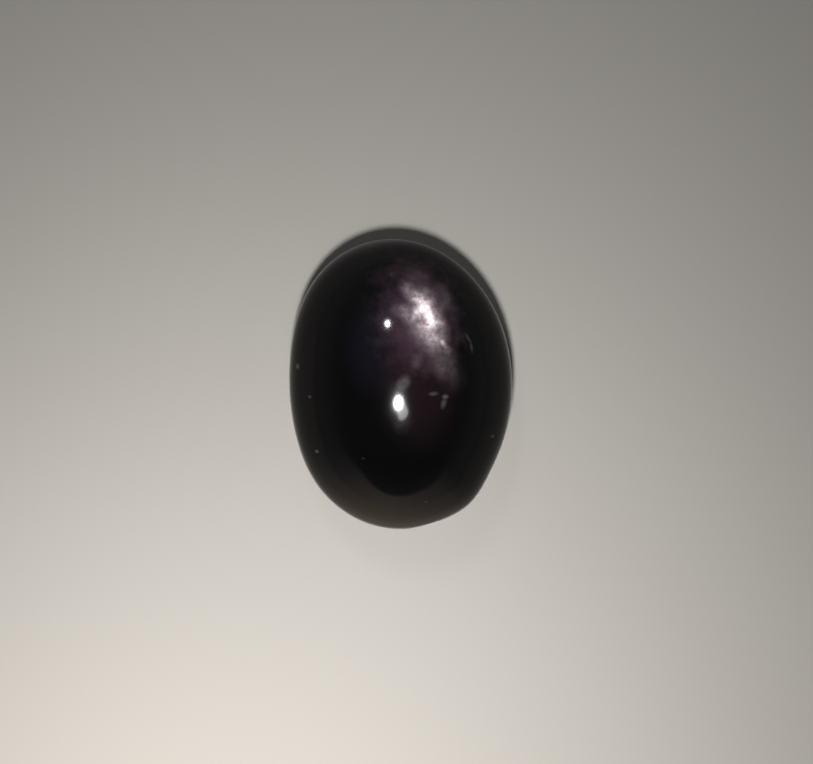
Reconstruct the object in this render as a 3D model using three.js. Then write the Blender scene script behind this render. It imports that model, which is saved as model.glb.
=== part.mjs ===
// A star sapphire cut as an oval cabochon: one stone with a high polished dome, a soft girdle
// and a shallow natural belly that is ground flat in one small spot, on which the stone sits.
// Units are millimetres and +Z is up. X runs across the stone and Y along it. The origin is on
// the flat spot, under the middle of the stone's bounding box.

import * as THREE from "three";

const degree = Math.PI / 180;

// Driving sizes
const stoneLength = 13.0; // along Y
const stoneWidth = 10.0; // along X
const domeHeight = 4.35; // girdle to the top of the dome
const bellyDepth = 2.25; // girdle to the flat spot
const flatShare = 0.3; // the flat spot's size, as a share of the outline's

// The dome and the belly are superellipses. An exponent of 2 is a true ellipse: more than that
// is fuller at the shoulder, and less makes a sharper girdle.
const domeFullness = 2.04;
const bellyFullness = 1.72;

// The outline was shaped by hand, so it swells past a true ellipse in some places and falls short
// of it in others. Angles turn from +X towards +Y; a rise is in millimetres at the girdle.
const outlineSwells = [
  { place: "lean far right shoulder", angle: 66, spread: 30, rise: -0.1 },
  { place: "full far left shoulder", angle: 126, spread: 32, rise: 0.36 },
  { place: "near left cheek", angle: 232, spread: 24, rise: 0.15 },
  { place: "near right corner", angle: 300, spread: 12, rise: 0.19 },
];

// An upright facet ground on the girdle beside the near tip, this far from the stone's axis
const tipFacet = { angle: 285.5, distance: 6.34 };

// Shallow hollows that the rough crystal left in the belly. Distances are from the stone's axis.
const bellyHollows = [
  { x: 2.7, y: 2.4, radius: 1.9, depth: 0.2 },
  { x: -2.4, y: -3.3, radius: 1.6, depth: 0.16 },
  { x: -2.9, y: 2.9, radius: 1.2, depth: 0.1 },
  { x: 1.6, y: -4.4, radius: 1.1, depth: 0.12 },
];

// How finely the solid is faceted
const facetsAround = 96;
const domeRows = 22;
const bellyRows = 9;

// How far the girdle would be from the axis at an angle, had the facet not been ground on it
function outlineRadius(angle) {
  const across = Math.cos(angle) / (stoneWidth / 2);
  const along = Math.sin(angle) / (stoneLength / 2);
  let radius = 1 / Math.hypot(across, along);
  for (const swell of outlineSwells) {
    const turned = angle - swell.angle * degree;
    const apart = Math.atan2(Math.sin(turned), Math.cos(turned));
    radius += swell.rise * Math.exp(-((apart / (swell.spread * degree)) ** 2));
  }
  return radius;
}

// How far out the ground facet lets a point at an angle be
function facetLimit(angle) {
  const towards = Math.cos(angle - tipFacet.angle * degree);
  return towards > 0 ? tipFacet.distance / towards : Infinity;
}

// One superellipse quadrant from the girdle (share 0) to the axis (share 1), as the distance
// from the axis, where the girdle is at 1, and the height, where the far end is at 1
function quadrantPoint(share, fullness) {
  const turn = (share * Math.PI) / 2;
  return new THREE.Vector2(Math.cos(turn) ** (2 / fullness), Math.sin(turn) ** (2 / fullness));
}

// The stone's profile from the middle of the flat spot, round the girdle, to the crest. Its
// width is in shares of the outline.
function stoneProfile() {
  const profile = [new THREE.Vector2(0, 0)];
  // Where the belly's full curve would have ended, had it not been ground flat
  const wholeBelly = bellyDepth / (1 - flatShare ** bellyFullness) ** (1 / bellyFullness);
  const flatTurn = Math.acos(flatShare ** (bellyFullness / 2));
  const flatStart = flatTurn / (Math.PI / 2);
  for (let row = bellyRows; row > 0; row--) {
    const { x, y } = quadrantPoint((row / bellyRows) * flatStart, bellyFullness);
    profile.push(new THREE.Vector2(x, row === bellyRows ? 0 : bellyDepth - wholeBelly * y));
  }
  for (let row = 0; row < domeRows; row++) {
    const { x, y } = quadrantPoint(row / domeRows, domeFullness);
    profile.push(new THREE.Vector2(x, bellyDepth + domeHeight * y));
  }
  profile.push(new THREE.Vector2(0, bellyDepth + domeHeight));
  return profile;
}

// How far the hollows push a point of the belly up into the stone. They fade out at the girdle
// and at the flat spot, which both stay as cut.
function hollowDepth(x, y, height) {
  const level = THREE.MathUtils.clamp(height / bellyDepth, 0, 1);
  const fade = 4 * level * (1 - level);
  let depth = 0;
  for (const hollow of bellyHollows) {
    const away = Math.hypot(x - hollow.x, y - hollow.y) / hollow.radius;
    depth += hollow.depth * Math.exp(-(away ** 2));
  }
  return depth * fade;
}

// The profile is turned into a round stone one unit in radius. Each of its points is then moved
// out to the real outline, and no further than the ground facet.
function stoneGeometry() {
  const geometry = new THREE.LatheGeometry(stoneProfile(), facetsAround);
  geometry.rotateX(Math.PI / 2);
  const points = geometry.getAttribute("position");
  for (let i = 0; i < points.count; i++) {
    const share = Math.hypot(points.getX(i), points.getY(i));
    const angle = Math.atan2(points.getY(i), points.getX(i));
    const height = points.getZ(i);
    const radius = Math.min(share * outlineRadius(angle), facetLimit(angle));
    const x = radius * Math.cos(angle);
    const y = radius * Math.sin(angle);
    points.setXYZ(i, x, y, height + hollowDepth(x, y, height));
  }
  geometry.computeBoundingBox();
  const middle = geometry.boundingBox.getCenter(new THREE.Vector3());
  geometry.translate(-middle.x, -middle.y, 0);
  geometry.computeVertexNormals();
  return geometry;
}

function makeStone() {
  const polishedSapphire = new THREE.MeshStandardMaterial({
    color: 0x140f14,
    roughness: 0.08,
    metalness: 0.0,
  });
  const stone = new THREE.Mesh(stoneGeometry(), polishedSapphire);
  stone.name = "star_sapphire";
  return stone;
}

const part = new THREE.Group();
part.add(makeStone());

export default part;
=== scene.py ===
from functools import partial
from math import asin, atan2, cos, exp, hypot, radians, sin

import bmesh
import bpy
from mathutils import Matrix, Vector, noise


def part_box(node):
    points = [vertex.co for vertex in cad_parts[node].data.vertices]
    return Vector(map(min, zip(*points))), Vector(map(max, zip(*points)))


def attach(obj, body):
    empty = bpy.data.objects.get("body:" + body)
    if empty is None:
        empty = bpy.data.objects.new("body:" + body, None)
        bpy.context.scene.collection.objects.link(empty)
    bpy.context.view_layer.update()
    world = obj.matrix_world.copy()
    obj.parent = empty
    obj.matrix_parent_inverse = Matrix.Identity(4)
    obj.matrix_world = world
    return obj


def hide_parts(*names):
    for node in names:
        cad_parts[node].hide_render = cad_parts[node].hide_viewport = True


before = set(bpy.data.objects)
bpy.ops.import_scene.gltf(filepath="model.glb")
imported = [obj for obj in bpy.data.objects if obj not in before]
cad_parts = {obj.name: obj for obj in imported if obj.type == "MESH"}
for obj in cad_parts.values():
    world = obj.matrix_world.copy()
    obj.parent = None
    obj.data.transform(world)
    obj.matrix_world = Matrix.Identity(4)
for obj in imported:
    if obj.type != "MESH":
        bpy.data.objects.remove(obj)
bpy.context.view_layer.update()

mm = 0.001
print("frame loaded")


def linear(code):
    # sRGB hex to the linear colour that a shader takes
    parts = [int(code[i:i + 2], 16) / 255 for i in (1, 3, 5)]
    return [p / 12.92 if p <= 0.04045 else ((p + 0.055) / 1.055) ** 2.4 for p in parts] + [1.0]


def direction(tilt, towards):
    # The way that leans from the vertical by tilt, towards that side, both in degrees
    tilt, towards = radians(tilt), radians(towards)
    return Vector((sin(tilt) * cos(towards), sin(tilt) * sin(towards), cos(tilt)))


def addNode(tree, kind, inputs=None, output=None, **settings):
    # One node, with its settings, and for each input a value or the output that feeds it. It
    # gives back its output of that name, or else the first one that is in use.
    node = tree.nodes.new("ShaderNode" + kind)
    for name, value in settings.items():
        setattr(node, name, value)
    for name, value in (inputs or {}).items():
        if isinstance(value, bpy.types.NodeSocket):
            tree.links.new(value, node.inputs[name])
        else:
            node.inputs[name].default_value = value
    if output:
        return node.outputs[output]
    return next((socket for socket in node.outputs if socket.enabled), None)


def newMaterial(name):
    # A material with nothing in it yet, and what adds nodes to it
    material = bpy.data.materials.new(name)
    material.use_nodes = True
    material.node_tree.nodes.clear()
    return material, partial(addNode, material.node_tree)


def newPiece(name, bm):
    # A finished bmesh as an object of the scene
    mesh = bpy.data.meshes.new(name)
    bm.to_mesh(mesh)
    bm.free()
    piece = bpy.data.objects.new(name, mesh)
    bpy.context.scene.collection.objects.link(piece)
    return piece


# The stone's shape, in millimetres and degrees
stoneShape = {
    "length": 13.0,
    "width": 10.0,
    "domeHeight": 4.35,  # girdle to crest
    "bellyDepth": 2.25,  # girdle to flat spot
    "domeFullness": 2.04,  # superellipse exponents, 2 being a true ellipse
    "bellyFullness": 1.72,
    "flatShare": 0.3,  # flat spot against the outline
    "flatEdge": 0.05,  # how high up its softened edge begins
    "swells": [  # angle from +X, spread, rise
        (66, 30, -0.10),  # lean far right shoulder
        (126, 32, 0.36),  # full far left shoulder
        (232, 24, 0.15),  # near left cheek
        (300, 12, 0.19),  # near right corner
    ],
    "tipFacetAngle": 285.5,  # upright facet beside the near tip
    "tipFacetDistance": 6.34,
    "bellyHollows": [  # x, y, radius, depth
        (2.7, 2.4, 1.9, 0.20),
        (-2.4, -3.3, 1.6, 0.16),
        (-2.9, 2.9, 1.2, 0.10),
        (1.6, -4.4, 1.1, 0.12),
    ],
    "gridCuts": 119,  # odd, so that one loop of edges is the girdle
    "bellyGrain": 0.9,  # the natural skin's waves, their size and depth
    "bellyRelief": 0.05,
    "girdleFade": 0.5,  # how far from the girdle and from the flat spot they are at full depth
    "flatFade": 0.15,
    "polishWave": 1.7,  # slow waves that hand polishing leaves in the dome, and their depth
    "polishRelief": 0.004,
    "polishFade": 0.8,  # how far above the girdle they are at full depth
    "pits": [  # x, y, radius, depth, on the dome
        (0.45, 1.75, 0.12, 0.02),
    ],
}


def outlineRadius(angle):
    # Girdle to axis at an angle, before the facet beside the near tip was ground
    s = stoneShape
    radius = 1 / hypot(cos(angle) / (s["width"] / 2), sin(angle) / (s["length"] / 2))
    for middle, spread, rise in s["swells"]:
        turned = angle - radians(middle)
        apart = atan2(sin(turned), cos(turned))
        radius += rise * exp(-(apart / radians(spread)) ** 2)
    return radius


def groundFlat(height):
    # What is left at a height once the flat spot is ground: nothing below it, and a soft edge
    soft = stoneShape["flatEdge"]
    return height if height > soft else max(0, height + soft) ** 2 / (4 * soft)


def stonePoint(ball):
    # Where a point of the unit ball lies on the stone, in mm: the ball's equator is the girdle
    s = stoneShape
    angle, turn = atan2(ball.y, ball.x), asin(max(-1, min(1, ball.z)))
    fullness = s["domeFullness"] if turn >= 0 else s["bellyFullness"]
    out, up = cos(turn) ** (2 / fullness), sin(abs(turn)) ** (2 / fullness)
    radius = out * outlineRadius(angle)
    towards = cos(angle - radians(s["tipFacetAngle"]))
    if towards > 0:
        radius = min(radius, s["tipFacetDistance"] / towards)
    x, y = radius * cos(angle), radius * sin(angle)
    if turn >= 0:
        return Vector((x, y, s["bellyDepth"] + s["domeHeight"] * up))
    wholeBelly = s["bellyDepth"] / (1 - s["flatShare"] ** fullness) ** (1 / fullness)
    height = groundFlat(s["bellyDepth"] - wholeBelly * up)
    level = height / s["bellyDepth"]
    hollow = sum(depth * exp(-(hypot(x - hx, y - hy) / wide) ** 2)
                 for hx, hy, wide, depth in s["bellyHollows"])
    return Vector((x, y, height + hollow * 4 * level * (1 - level)))


def wave(point, size):
    # Soft noise between 0 and 1, with waves of about that size in mm
    return 0.5 + 0.5 * noise.fractal(point / size, 1.0, 2.0, 3)


def reliefDepth(point):
    # How far the finished skin lies under the plain shape, in mm
    s = stoneShape
    above = point.z - s["bellyDepth"]
    if above <= 0:
        fade = min(1, -above / s["girdleFade"]) * min(1, max(0, point.z) / s["flatFade"])
        return fade * s["bellyRelief"] * wave(point, s["bellyGrain"])
    fade = min(1, above / s["polishFade"])
    depth = fade * s["polishRelief"] * wave(point, s["polishWave"])
    for x, y, radius, deep in s["pits"]:
        depth += deep * exp(-(hypot(point.x - x, point.y - y) / radius) ** 4)
    return depth


def makeStone():
    bm = bmesh.new()
    bmesh.ops.create_cube(bm, size=2)
    bmesh.ops.subdivide_edges(
        bm, edges=bm.edges[:], cuts=stoneShape["gridCuts"], use_grid_fill=True)
    for v in bm.verts:
        v.co = stonePoint(v.co.normalized())
    bm.normal_update()
    bmesh.ops.recalc_face_normals(bm, faces=bm.faces[:])
    skin = [(v, v.co - v.normal * reliefDepth(v.co)) for v in bm.verts]
    for v, co in skin:
        v.co = co

    # Into the solid's own box, in metres
    low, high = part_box("star_sapphire")
    for axis in (0, 1):
        least = min(v.co[axis] for v in bm.verts)
        most = max(v.co[axis] for v in bm.verts)
        share = (high[axis] - low[axis]) / (most - least)
        for v in bm.verts:
            v.co[axis] = low[axis] + (v.co[axis] - least) * share
    for v in bm.verts:
        v.co.z = min(v.co.z * mm, high.z)

    for f in bm.faces:
        f.smooth = True
    return newPiece("star_sapphire_stone", bm)


# The sapphire's finish. Sizes are in millimetres. An oval is seen from above and given by its
# x, y, half length, half width and turn, and its fade is given in shares of its own size.
sapphire = {
    "body": "#0a080a",  # iron-rich blue so deep that it reads black
    "warmBody": "#23171a",  # with a breath of red where the silk thins out
    "warmAt": (0.85, 0.3, 3.6, 2.2, 90),
    "coolBody": "#18161f",  # and bluer to its left
    "coolAt": (-0.75, 2.1, 2.9, 2.1, 80),
    "tintFade": (0.3, 1.0),  # where both tints are full, and where they end
    "hazeAndPaintedSheen": "#56414e",  # mauve of the thin silk, and the painted sheen that the key lamp draws from it
    "hazeAt": (0.66, 3.05, 3.15, 2.4, -78),
    "hazeGrain": 0.65,
    "hazeMottle": 0.6,  # how strongly the grain tells
    "hazeFade": (0.2, 1.3),  # where the haze starts to thin, and where it is gone
    "hazeLift": (0.45, -0.3),  # what is added to the grain at those two places
    "hazeSpan": (0.2, 0.9),  # the sums at which it sets in and is full
    "paleSilkAndPaintedSheen": "#c9bcbf",  # and of the dense silk, pale as the painted sheen and highlight that the lamps draw from it
    "silkGrain": 0.4,
    "silkTear": (0.5, 1.25),  # what its grain leaves of it in the gaps and in the rags
    "silkGlint": 0.7,  # how much of it mirrors the lamps
    "silkRoughness": 0.36,
    "silkFade": (0.2, 1.6),
    "silkAndPaintedHighlightHeart": (1.15, 3.40, 0.50, 0.21, -55, 0.42),  # an oval and its strength: the heart of the painted highlight on the silk
    "silkAndPaintedSheenPatches": [  # the same, for each: dense silk, and the painted sheen round the highlight
        (1.18, 3.34, 0.74, 0.52, -54, 0.38),
        (0.88, 2.65, 0.80, 0.50, -60, 0.22),
        (1.02, 4.00, 0.48, 0.42, 100, 0.28),
        (0.48, 4.20, 0.55, 0.30, -45, 0.36),
        (0.45, 3.35, 0.40, 0.40, 0, 0.29),
        (1.45, 2.60, 0.70, 0.52, -62, 0.40),
        (1.88, 2.02, 0.16, 0.10, -60, 0.50),
        (1.78, 3.02, 0.30, 0.16, -60, 0.12),
        (2.06, 1.74, 0.24, 0.18, -60, 0.15),
        (1.38, 1.90, 0.55, 0.38, -20, 0.13),
        (1.84, 1.25, 0.75, 0.52, -70, 0.15),
        (0.72, 1.28, 0.35, 0.25, 70, 0.10),
        (2.30, 0.50, 0.60, 0.50, 90, 0.03),
        (-0.04, 3.45, 0.35, 0.25, 0, 0.20),
        (0.12, 0.28, 0.34, 0.24, 60, 0.26),
        (0.05, -1.40, 0.45, 0.35, 90, 0.05),
        (1.85, 4.00, 0.60, 0.35, -60, 0.09),
        (0.70, 4.90, 0.55, 0.30, 0, 0.06),
    ],
    "ior": 1.77,
    "polish": 0.09,  # roughness of the polished dome
    "lineSpan": (-0.25, 0.05),  # from the girdle, where the polish sets in and is full
    "lineWave": 0.7,  # the line's waves, their size and how far up they carry the polish's edge
    "lineStray": 0.5,
    "axisTilt": 8.4,  # the crystal's axis leans from the dome's, which moves the silk's heart
    "axisTowards": 55,
    "needleSize": (0.6, 0.08, 2),  # streaks of needles, coarser than real ones, so that they show
    "needleSets": [(0, 0.02), (60, 0.04), (120, 0.05)],  # turn, spread: as the crystal grows them
    "needleReach": 12,  # how soon, as the silk thickens, its needles set which way it faces
    "belly": "#3f3a3c",  # what the dull belly gives back, in its dark and its pale mottles
    "paleBelly": "#787073",
    "bellyRoughness": 0.5,
    "bellyMetal": 0.7,  # the share of it that mirrors, the rest being matt
    "bellyPolish": 0.2,
    "frost": 0.3,  # its frosted skin, the size of the grains and their depth
    "frostDepth": 0.03,
    "dust": "#7c7474",
    "dustFade": (0.1, 1.2),
    "dustAt": [  # an oval and its strength, for each
        (-4.59, 0.89, 0.10, 0.13, 0, 0.70),
        (-4.03, -0.41, 0.09, 0.07, 30, 0.50),
        (-3.72, -2.86, 0.10, 0.08, 0, 0.90),
        (-0.40, 5.02, 0.13, 0.08, 20, 0.15),
        (4.09, -2.20, 0.10, 0.08, 0, 0.60),
        (1.12, -5.09, 0.10, 0.07, 10, 0.25),
        (-1.64, -3.07, 0.08, 0.05, 0, 0.20),
        (1.45, -0.18, 0.22, 0.10, 5, 0.50),
        (1.97, -0.32, 0.15, 0.11, 0, 0.80),
        (1.90, -0.60, 0.28, 0.13, 75, 0.50),
        (3.00, 2.20, 0.30, 0.06, 118, 0.30),
        (3.13, 1.85, 0.30, 0.06, 98, 0.30),
    ],
}


def sapphireMaterial():
    # Star sapphire, cut and hand polished on the dome and left dull on the belly: the polish is a
    # clear coat that mirrors the lamps, over a black body with mauve silk in it
    p = sapphire
    material, add = newMaterial("Sapphire, hand polished")
    place = add("TexCoord", output="Object")
    normal = add("NewGeometry", output="Normal")
    height = add("SeparateXYZ", {0: place}, output="Z")
    level = add("VectorMath", {0: place, 1: (1, 1, 0)}, operation="MULTIPLY")

    def awayFrom(x, y, long, wide, turn):
        # Distance from an oval's middle, 1 at its edge
        laid = add("Mapping", {
            "Vector": level, "Location": (x * mm, y * mm, 0), "Rotation": (0, 0, radians(turn)),
            "Scale": (long * mm, wide * mm, 1)}, vector_type="TEXTURE")
        return add("VectorMath", {0: laid}, operation="LENGTH")

    # 1 on the polished dome, 0 on the belly, with an uneven line just under the girdle
    dull, full = ((stoneShape["bellyDepth"] + rise) * mm for rise in p["lineSpan"])
    ragged = add("TexNoise", {"Vector": place, "Scale": 1 / (p["lineWave"] * mm), "Detail": 4})
    line = add("Math", {0: ragged, 1: p["lineStray"] * mm, 2: height}, operation="MULTIPLY_ADD")
    polished = add("MapRange", {"Value": line, "From Min": dull, "From Max": full},
                   interpolation_type="SMOOTHSTEP")

    # Silk: the needles lie square to the crystal's axis, so they mirror the lamps from there and
    # not from the surface. The polished curve above them bends what they send back. A noise's
    # values lie mostly between 0.25 and 0.75.
    axis = direction(p["axisTilt"], p["axisTowards"]) * p["ior"]
    bent = add("VectorMath", {0: normal, 1: (1 - p["ior"],) * 3, 2: axis}, operation="MULTIPLY_ADD")
    for turn, spread in p["needleSets"]:
        laid = add("Mapping", {
            "Vector": place, "Rotation": (0, 0, radians(turn)),
            "Scale": [size * mm for size in p["needleSize"]]}, vector_type="TEXTURE")
        streaks = add("TexNoise", {"Vector": laid, "Scale": 1, "Detail": 2})
        sideways = add("MapRange", {
            "Value": streaks, "From Min": 0.25, "From Max": 0.75, "To Min": -1, "To Max": 1})
        lean = add("VectorMath", {0: direction(90, turn + 90) * spread, "Scale": sideways},
                   operation="SCALE")
        bent = add("VectorMath", {0: bent, 1: lean}, operation="ADD")
    silkNormal = add("VectorMath", {0: bent}, operation="NORMALIZE")

    # The belly's frosted natural skin
    frosted = add("TexNoise", {
        "Vector": place, "Scale": 1 / (p["frost"] * mm), "Detail": 6, "Roughness": 0.7})
    frostNormal = add("Bump", {
        "Height": frosted, "Strength": 1.0, "Distance": p["frostDepth"] * mm})

    # The haze of thin silk, mottled and fading out at its edges. Its mauve is also painted sheen,
    # laid where the key lamp lights the silk
    mottled = add("TexNoise", {
        "Vector": place, "Scale": 1 / (p["hazeGrain"] * mm), "Detail": 5, "Roughness": 0.6})
    fading = add("MapRange", {
        "Value": awayFrom(*p["hazeAt"]), "From Min": p["hazeFade"][0],
        "From Max": p["hazeFade"][1], "To Min": p["hazeLift"][0], "To Max": p["hazeLift"][1]})
    misty = add("Math", {0: mottled, 1: p["hazeMottle"], 2: fading}, operation="MULTIPLY_ADD")
    hazeAndPaintedSheen = add("MapRange", {
        "Value": misty, "From Min": p["hazeSpan"][0], "From Max": p["hazeSpan"][1]},
        interpolation_type="SMOOTHSTEP")

    # Dense silk, painted pale as the sheen and highlight the lamps draw from it: an even heart, and
    # patches round it that are torn into rags
    def silkAndSheenPatch(x, y, long, wide, turn, strength):
        return add("MapRange", {
            "Value": awayFrom(x, y, long, wide, turn), "From Min": p["silkFade"][0],
            "From Max": p["silkFade"][1], "To Min": strength, "To Max": 0.0},
            interpolation_type="SMOOTHSTEP")

    gathered = 0.0
    for patch in p["silkAndPaintedSheenPatches"]:
        gathered = add("Math", {0: gathered, 1: silkAndSheenPatch(*patch)}, operation="ADD")
    torn = add("TexNoise", {
        "Vector": place, "Scale": 1 / (p["silkGrain"] * mm), "Detail": 4, "Roughness": 0.6})
    tearing = add("MapRange", {
        "Value": torn, "From Min": 0.35, "From Max": 0.65, "To Min": p["silkTear"][0],
        "To Max": p["silkTear"][1]})
    denseSilkAndPaintedSheen = add("Math", {0: gathered, 1: tearing, 2: silkAndSheenPatch(*p["silkAndPaintedHighlightHeart"])},
                operation="MULTIPLY_ADD", use_clamp=True)

    # Dust and short scratches on the polish
    dusty = 0.0
    for x, y, long, wide, turn, strength in p["dustAt"]:
        speck = add("MapRange", {
            "Value": awayFrom(x, y, long, wide, turn), "From Min": p["dustFade"][1],
            "From Max": p["dustFade"][0], "To Max": strength})
        dusty = add("Math", {0: dusty, 1: speck}, operation="MAXIMUM")
    dusty = add("Math", {0: dusty, 1: polished}, operation="MULTIPLY")

    # Body, haze, dense silk, belly and dust, each laid over what came before; the haze and the
    # dense silk also carry painted sheen. A mix node's inputs go by number: 0 is the share, 2 and 3
    # are values, 4 and 5 vectors, 6 and 7 colours.
    coolness, warmth = (add("MapRange", {
        "Value": awayFrom(*p[oval]), "From Min": p["tintFade"][1], "From Max": p["tintFade"][0]},
        interpolation_type="SMOOTHSTEP") for oval in ("coolAt", "warmAt"))
    colour = linear(p["body"])
    for share, tone in ((coolness, "coolBody"), (warmth, "warmBody"), (hazeAndPaintedSheen, "hazeAndPaintedSheen"),
                        (denseSilkAndPaintedSheen, "paleSilkAndPaintedSheen")):
        colour = add("Mix", {0: share, 6: colour, 7: linear(p[tone])}, data_type="RGBA")
    mottles = add("MapRange", {"Value": mottled, "From Min": 0.3, "From Max": 0.7})
    belly = add("Mix", {0: mottles, 6: linear(p["belly"]), 7: linear(p["paleBelly"])},
                data_type="RGBA")
    colour = add("Mix", {0: polished, 6: belly, 7: colour}, data_type="RGBA")
    colour = add("Mix", {0: dusty, 6: colour, 7: linear(p["dust"])}, data_type="RGBA")
    glint = add("Math", {0: denseSilkAndPaintedSheen, 1: p["silkGlint"]}, operation="MULTIPLY")
    metallic = add("Mix", {0: polished, 2: p["bellyMetal"], 3: glint})
    metallic = add("Mix", {0: dusty, 2: metallic, 3: 0.0})
    roughness = add("Mix", {0: polished, 2: p["bellyRoughness"], 3: p["silkRoughness"]})
    silky = add("Math", {0: hazeAndPaintedSheen, 1: denseSilkAndPaintedSheen}, operation="ADD")
    silky = add("Math", {0: silky, 1: p["needleReach"]}, operation="MULTIPLY", use_clamp=True)
    facing = add("Mix", {0: polished, 4: frostNormal, 5: normal}, data_type="VECTOR")
    facing = add("Mix", {0: silky, 4: facing, 5: silkNormal}, data_type="VECTOR")
    facing = add("VectorMath", {0: facing}, operation="NORMALIZE")
    coat = add("Mix", {0: polished, 2: p["bellyPolish"], 3: 1.0})

    shader = add("BsdfPrincipled", {
        "Base Color": colour, "Metallic": metallic, "Roughness": roughness, "Normal": facing,
        "IOR": p["ior"], "Specular IOR Level": 0.0, "Coat Weight": coat,
        "Coat Roughness": p["polish"], "Coat IOR": p["ior"]})
    add("OutputMaterial", {"Surface": shader})
    return material


star = makeStone()
star.data.materials.append(sapphireMaterial())
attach(star, "root")
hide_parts("star_sapphire")
print("stone made:", len(star.data.polygons), "faces")


# The studio: a satin bench and a dim room. Millimetres, degrees and watts.
studio = {
    "discRadius": 170,  # the bench's and the card's
    # the bench's tones: darker far off and paler near, painted shade and painted light of the key
    # lamp
    "benchFarPaintedShade": "#989590",
    "benchNearPaintedLight": "#cac4bb",
    "benchReach": 24,  # from the stone to where each tone is full
    "benchTurn": 20,  # the painted light on its near side is palest to the left
    "benchBend": 2.7,  # how late the painted light turns it pale
    "benchRoughness": 0.46,
    "benchMetal": (0.76, 0.93),  # at the far tone and at the near one
    "card": "#9b8c7e",  # a warm glow low on the near side, for the polish to mirror
    "cardHeight": 0.05,
    "cardStart": (7.3, 10.22),  # from the stone's axis, where it sets in and is full
    "ceiling": 0.022,  # the room's brightness, overhead and low down
    "walls": 0.057,
    "wallSpan": (42, 4),  # how high over the horizon each begins
    "nearWall": "#92867d",  # the near side's warm light
    "nearTowards": 263,
    "nearFocus": 6,  # a higher number narrows it
    "nearTop": ((-0.965, 0.264), (-0.77, 0.43)),  # y and z of the way to its upper line, in
    # its middle and at its sides
    "nearEdge": (-0.01, 0.05),  # how softly it ends there
    "lamps": {
        "key lamp": {
            "tilt": 9.7, "towards": 257.5, "distance": 180, "size": (17, 21), "power": 0.09},
        "key lamp's tail": {
            "tilt": 14.3, "towards": 273, "distance": 180, "size": (24, 27), "power": 0.0065},
        "second lamp": {
            "tilt": 33.6, "towards": 103.8, "distance": 260, "size": (20, 20), "power": 0.024},
        "soft lamp": {
            "tilt": 36, "towards": 108, "distance": 250, "size": (60, 60), "power": 0.25,
            "mirrored": False},
    },
    "cameraTilt": 3.4,
    "cameraTowards": 90,  # the far side
    "cameraDistance": 180,
    "frameWidth": 36.57,  # what the picture is wide at the girdle's height
    "aim": (0.264, 0.092),
}


def makeLamp(name, tilt, towards, distance, size, power, mirrored=True):
    # An oval lamp over the stone, leaning from the vertical, that faces the girdle's middle
    light = bpy.data.lights.new(name, "AREA")
    light.shape = "ELLIPSE"
    light.size, light.size_y = (length * mm for length in size)
    light.energy = power
    back = direction(tilt, towards)
    lamp = bpy.data.objects.new(name, light)
    lamp.location = (Vector((0, 0, stoneShape["bellyDepth"])) + back * distance) * mm
    lamp.rotation_euler = back.to_track_quat("Z", "Y").to_euler()
    lamp.visible_glossy = mirrored
    bpy.context.scene.collection.objects.link(lamp)


def stageDisc(name, height=0.0):
    # A wide round sheet that belongs to the studio
    bm = bmesh.new()
    bmesh.ops.create_circle(bm, cap_ends=True, segments=96, radius=studio["discRadius"] * mm)
    disc = newPiece(name, bm)
    disc.location.z = height * mm
    return disc


def makeBench():
    # A sheet with a pale satin finish: it sends the lamps' light back up and little of it sideways,
    # so it looks pale from above and the polish of the stone's flanks mirrors it dark. Its tone is
    # painted paler towards the near side, a painted pool of the key lamp's light
    s = studio
    material, add = newMaterial("Painted sheet, satin")
    place = add("TexCoord", output="Object")
    turned = add("VectorRotate", {"Vector": place, "Angle": radians(s["benchTurn"])},
                 rotation_type="Z_AXIS")
    along = add("SeparateXYZ", {0: turned}, output="Y")
    reach = s["benchReach"] * mm
    # painted light: the tone grows paler towards the near side, where the key lamp lights it most
    paintedLightShare = add("MapRange", {"Value": along, "From Min": reach, "From Max": -reach})
    paintedLightShare = add("Math", {0: paintedLightShare, 1: s["benchBend"]}, operation="POWER")
    tone = add("Mix", {0: paintedLightShare, 6: linear(s["benchFarPaintedShade"]), 7: linear(s["benchNearPaintedLight"])},
               data_type="RGBA")
    farMetal, nearMetal = s["benchMetal"]
    metal = add("Mix", {0: paintedLightShare, 2: farMetal, 3: nearMetal})
    shader = add("BsdfPrincipled", {
        "Base Color": tone, "Roughness": s["benchRoughness"], "Metallic": metal})
    add("OutputMaterial", {"Surface": shader})
    stageDisc("bench").data.materials.append(material)


def nearShare(add, way):
    # 1 straight towards the near side, and falling off to its left and right
    share = add("VectorMath", {0: way, 1: direction(90, studio["nearTowards"])},
                operation="DOT_PRODUCT")
    share = add("Math", {0: share, 1: 0.0}, operation="MAXIMUM")
    return add("Math", {0: share, 1: studio["nearFocus"]}, operation="POWER")


def makeCard():
    # A glow just over the bench, hidden from the camera, clear from below and clear away from
    # the near side
    start, full = (length * mm for length in studio["cardStart"])
    material, add = newMaterial("Card, warm white")
    place = add("TexCoord", output="Object")
    way = add("VectorMath", {0: place}, operation="NORMALIZE")
    far = add("VectorMath", {0: place}, operation="LENGTH")
    begun = add("MapRange", {"Value": far, "From Min": start, "From Max": full},
                interpolation_type="SMOOTHSTEP")
    below = add("NewGeometry", output="Backfacing")
    share = add("Math", {0: nearShare(add, way), 1: begun}, operation="MULTIPLY")
    share = add("Mix", {0: below, 2: share, 3: 0.0})
    warm = add("Emission", {"Color": linear(studio["card"])})
    mixed = add("MixShader", {0: share, 1: add("BsdfTransparent"), 2: warm})
    add("OutputMaterial", {"Surface": mixed})
    card = stageDisc("card", studio["cardHeight"])
    card.visible_camera = False
    card.visible_diffuse = False
    card.visible_shadow = False
    card.data.materials.append(material)


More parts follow.
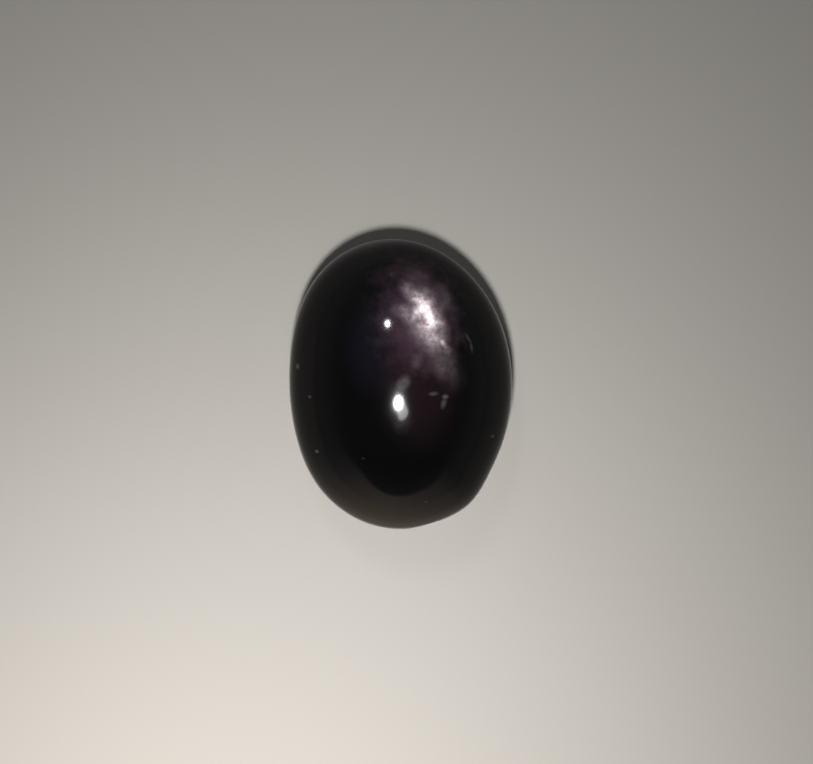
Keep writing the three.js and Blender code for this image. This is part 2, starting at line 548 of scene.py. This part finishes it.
def makeRoom():
    # Light from all round: dark overhead, paler towards the walls, palest low on the near side,
    # where it ends in a clear line that climbs to both sides
    s = studio
    world = bpy.data.worlds.new("studio")
    world.use_nodes = True
    world.node_tree.nodes.clear()
    add = partial(addNode, world.node_tree)
    way = add("TexCoord", output="Generated")
    along = add("SeparateXYZ", {0: way}, output="Y")
    height = add("SeparateXYZ", {0: way}, output="Z")
    overhead, low = (sin(radians(angle)) for angle in s["wallSpan"])
    around = add("MapRange", {
        "Value": height, "From Min": overhead, "From Max": low, "To Min": s["ceiling"],
        "To Max": s["walls"]}, interpolation_type="SMOOTHSTEP")
    (middle, middleTop), (side, sideTop) = s["nearTop"]
    top = add("MapRange", {
        "Value": along, "From Min": middle, "From Max": side, "To Min": middleTop,
        "To Max": sideTop})
    under = add("Math", {0: top, 1: height}, operation="SUBTRACT")
    under = add("MapRange", {
        "Value": under, "From Min": s["nearEdge"][0], "From Max": s["nearEdge"][1]},
        interpolation_type="SMOOTHSTEP")
    near = add("Math", {0: nearShare(add, way), 1: under}, operation="MULTIPLY")
    grey = add("CombineColor", {0: around, 1: around, 2: around})
    tone = add("Mix", {0: near, 6: grey, 7: linear(s["nearWall"])}, data_type="RGBA")
    add("OutputWorld", {"Surface": add("Background", {"Color": tone})})
    bpy.context.scene.world = world


def makeCamera():
    # Almost straight above the stone, as the picture was taken, with +Y up in the picture
    lens = bpy.data.cameras.new("camera")
    lens.lens = lens.sensor_width * studio["cameraDistance"] / studio["frameWidth"]
    lens.clip_start = 10 * mm
    camera = bpy.data.objects.new("camera", lens)
    aim = Vector((*studio["aim"], stoneShape["bellyDepth"]))
    back = direction(studio["cameraTilt"], studio["cameraTowards"])
    camera.location = (aim + back * studio["cameraDistance"]) * mm
    camera.rotation_euler.x = -radians(studio["cameraTilt"])
    bpy.context.scene.collection.objects.link(camera)
    bpy.context.scene.camera = camera


makeBench()
makeCard()
makeRoom()
for name, settings in studio["lamps"].items():
    makeLamp(name, **settings)
makeCamera()
bpy.context.scene.view_settings.view_transform = "Standard"
print("studio made")
